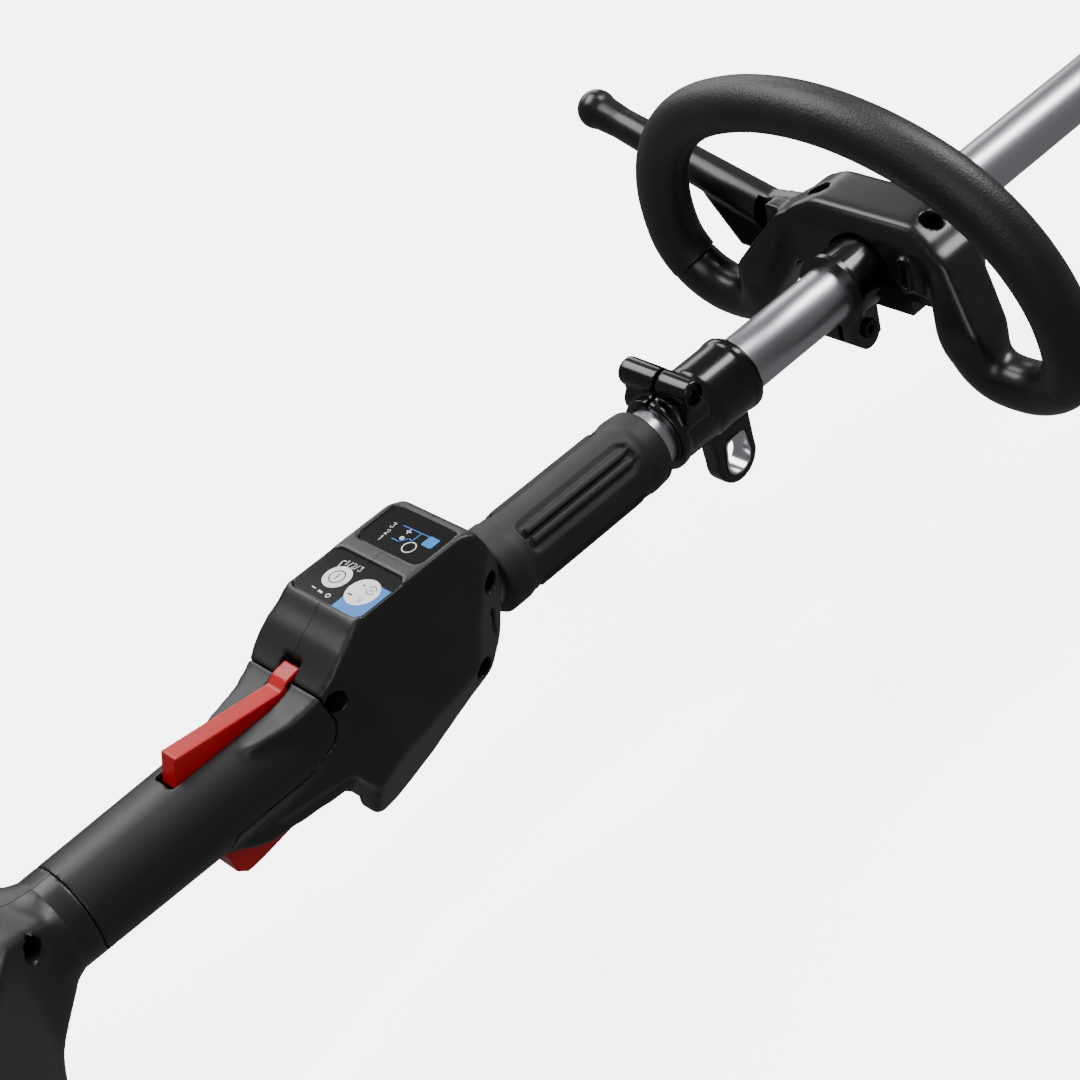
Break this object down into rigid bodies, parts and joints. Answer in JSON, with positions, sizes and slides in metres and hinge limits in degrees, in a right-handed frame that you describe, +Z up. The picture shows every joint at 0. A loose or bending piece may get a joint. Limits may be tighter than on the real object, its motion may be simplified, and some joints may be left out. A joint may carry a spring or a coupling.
{
  "type": "string trimmer",
  "caption": "Cordless string trimmer: straight tube shaft, rear control grip with trigger, loop handle with barrier bar, harness hanger, rear batteries and a tilted line head with guard.",
  "frame": {"origin": "middle of the trimmer's box on the ground, as it lies on its rear feet and the edge of its guard", "axes": "+X along the shaft towards the line head, +Y to the user's left, +Z up"},
  "size_m": [1.8154, 0.3184, 0.2237],
  "materials": {
    "tube_aluminium": "satin anodised",
    "housing_nylon": "fine moulded texture",
    "grip_rubber": "matt",
    "handle_nylon": "smooth moulded",
    "gloss_black": "gloss",
    "red_plastic": "gloss",
    "white_print": "satin",
    "panel_film": "clear gloss film",
    "black_steel": "black oxide",
    "bright_steel": "plated",
    "spring_steel": "drawn wire",
    "copper_winding": "enamelled copper",
    "magnet_iron": "plated iron",
    "circuit_board": "solder mask",
    "clear_plastic": "translucent",
    "cable_jacket": "matt",
    "lead_jacket": "matt",
    "spool_nylon": "natural nylon",
    "line_nylon": "extruded nylon"
  },
  "bodies": {
    "machine": {"shaft_tube": "tube_aluminium", "motor_cable": "cable_jacket", "cable_spacers": "cable_jacket", "housing_shell_right": "housing_nylon", "housing_shell_left": "housing_nylon", "rear_grip_cover": "grip_rubber", "housing_screws": "black_steel", "control_panel_film": "panel_film", "indicator_panel_film": "panel_film", "button_board": "circuit_board", "speed_leds": "clear_plastic", "controller_board": "circuit_board", "switch_unit": "handle_nylon", "power_leads": "lead_jacket", "lock_off_pin": "bright_steel", "lock_off_spring": "spring_steel", "trigger_pin": "bright_steel", "trigger_spring": "spring_steel", "front_grip": "grip_rubber", "terminal_blocks": "handle_nylon", "rear_feet": "grip_rubber", "motor_housing": "housing_nylon", "motor_cover": "housing_nylon", "motor_housing_screws": "black_steel", "stator": "copper_winding", "motor_bearings": "bright_steel", "guard": "housing_nylon", "guard_bolts": "black_steel", "line_cutter_blade": "bright_steel"},
    "trigger": {"trigger": "red_plastic"},
    "lock_off_lever": {"lock_off_lever": "red_plastic"},
    "power_button": {"power_button": "white_print"},
    "reverse_button": {"reverse_button": "white_print"},
    "hanger": {"hanger_clamp": "gloss_black", "hanger_bolt": "black_steel", "hanger_nut": "bright_steel", "hanger_eye_liner": "bright_steel"},
    "handle": {"handle_collar": "gloss_black", "collar_bolt": "black_steel", "handle_saddle": "handle_nylon", "loop_bar": "handle_nylon", "loop_grip": "grip_rubber", "handle_lower_clamp": "handle_nylon", "handle_screws": "black_steel", "barrier_bar": "handle_nylon", "barrier_screws": "black_steel"},
    "battery_left": {"battery_left": "handle_nylon"},
    "battery_right": {"battery_right": "handle_nylon"},
    "latch_left": {"latch_button_left": "red_plastic"},
    "latch_right": {"latch_button_right": "red_plastic"},
    "cutting_head": {"rotor": "magnet_iron", "motor_shaft": "bright_steel", "shaft_adapter": "bright_steel", "head_drum": "handle_nylon", "head_cover": "handle_nylon", "line_eyelets": "bright_steel", "spool_spring": "spring_steel"},
    "bump_knob": {"bump_knob": "red_plastic"},
    "spool": {"spool": "spool_nylon", "line_winding": "line_nylon"}
  },
  "joints": [
    {"name": "trigger_squeeze", "type": "hinge", "parent": "machine", "child": "trigger", "pos_m": [-0.57792, -0.02678, 0.112], "axis": [0, 1, 0], "range_deg": [0, 9], "stiffness_Nm_per_rad": 0.6, "springref_deg": -20.05, "deforming": ["trigger_spring"]},
    {"name": "lock_off_press", "type": "hinge", "parent": "machine", "child": "lock_off_lever", "pos_m": [-0.58592, -0.02678, 0.139], "axis": [0, -1, 0], "range_deg": [0, 10.5], "stiffness_Nm_per_rad": 0.4, "springref_deg": -20.05, "deforming": ["lock_off_spring"]},
    {"name": "power_button_press", "type": "slide", "parent": "machine", "child": "power_button", "axis": [0, 0, -1], "range_m": [0, 0.0005], "stiffness_N_per_m": 800, "springref_m": -0.002},
    {"name": "reverse_button_press", "type": "slide", "parent": "machine", "child": "reverse_button", "axis": [0, 0, -1], "range_m": [0, 0.0005], "stiffness_N_per_m": 800, "springref_m": -0.002},
    {"name": "hanger_adjust", "type": "slide", "parent": "machine", "child": "hanger", "axis": [1, 0, 0], "range_m": [-0.005, 0.055]},
    {"name": "handle_adjust", "type": "slide", "parent": "machine", "child": "handle", "axis": [1, 0, 0], "range_m": [0, 0.15]},
    {"name": "battery_left_slide", "type": "slide", "parent": "machine", "child": "battery_left", "axis": [0, 0, 1], "range_m": [0, 0.08]},
    {"name": "battery_right_slide", "type": "slide", "parent": "machine", "child": "battery_right", "axis": [0, 0, 1], "range_m": [0, 0.08]},
    {"name": "latch_left_press", "type": "slide", "parent": "battery_left", "child": "latch_left", "axis": [-1, 0, 0], "range_m": [0, 0.003], "stiffness_N_per_m": 600, "springref_m": -0.004},
    {"name": "latch_right_press", "type": "slide", "parent": "battery_right", "child": "latch_right", "axis": [-1, 0, 0], "range_m": [0, 0.003], "stiffness_N_per_m": 600, "springref_m": -0.004},
    {"name": "head_spin", "type": "hinge", "parent": "machine", "child": "cutting_head", "pos_m": [0.85757, -0.02678, 0.0826], "axis": [0.5299, 0, -0.848], "continuous": true},
    {"name": "bump_press", "type": "slide", "parent": "cutting_head", "child": "bump_knob", "axis": [-0.5299, 0, 0.848], "range_m": [0, 0.005], "stiffness_N_per_m": 900, "springref_m": -0.008, "deforming": ["spool_spring"]},
    {"name": "spool_turn", "type": "hinge", "parent": "bump_knob", "child": "spool", "pos_m": [0.85757, -0.02678, 0.0826], "axis": [0.5299, 0, -0.848], "continuous": true}
  ]
}
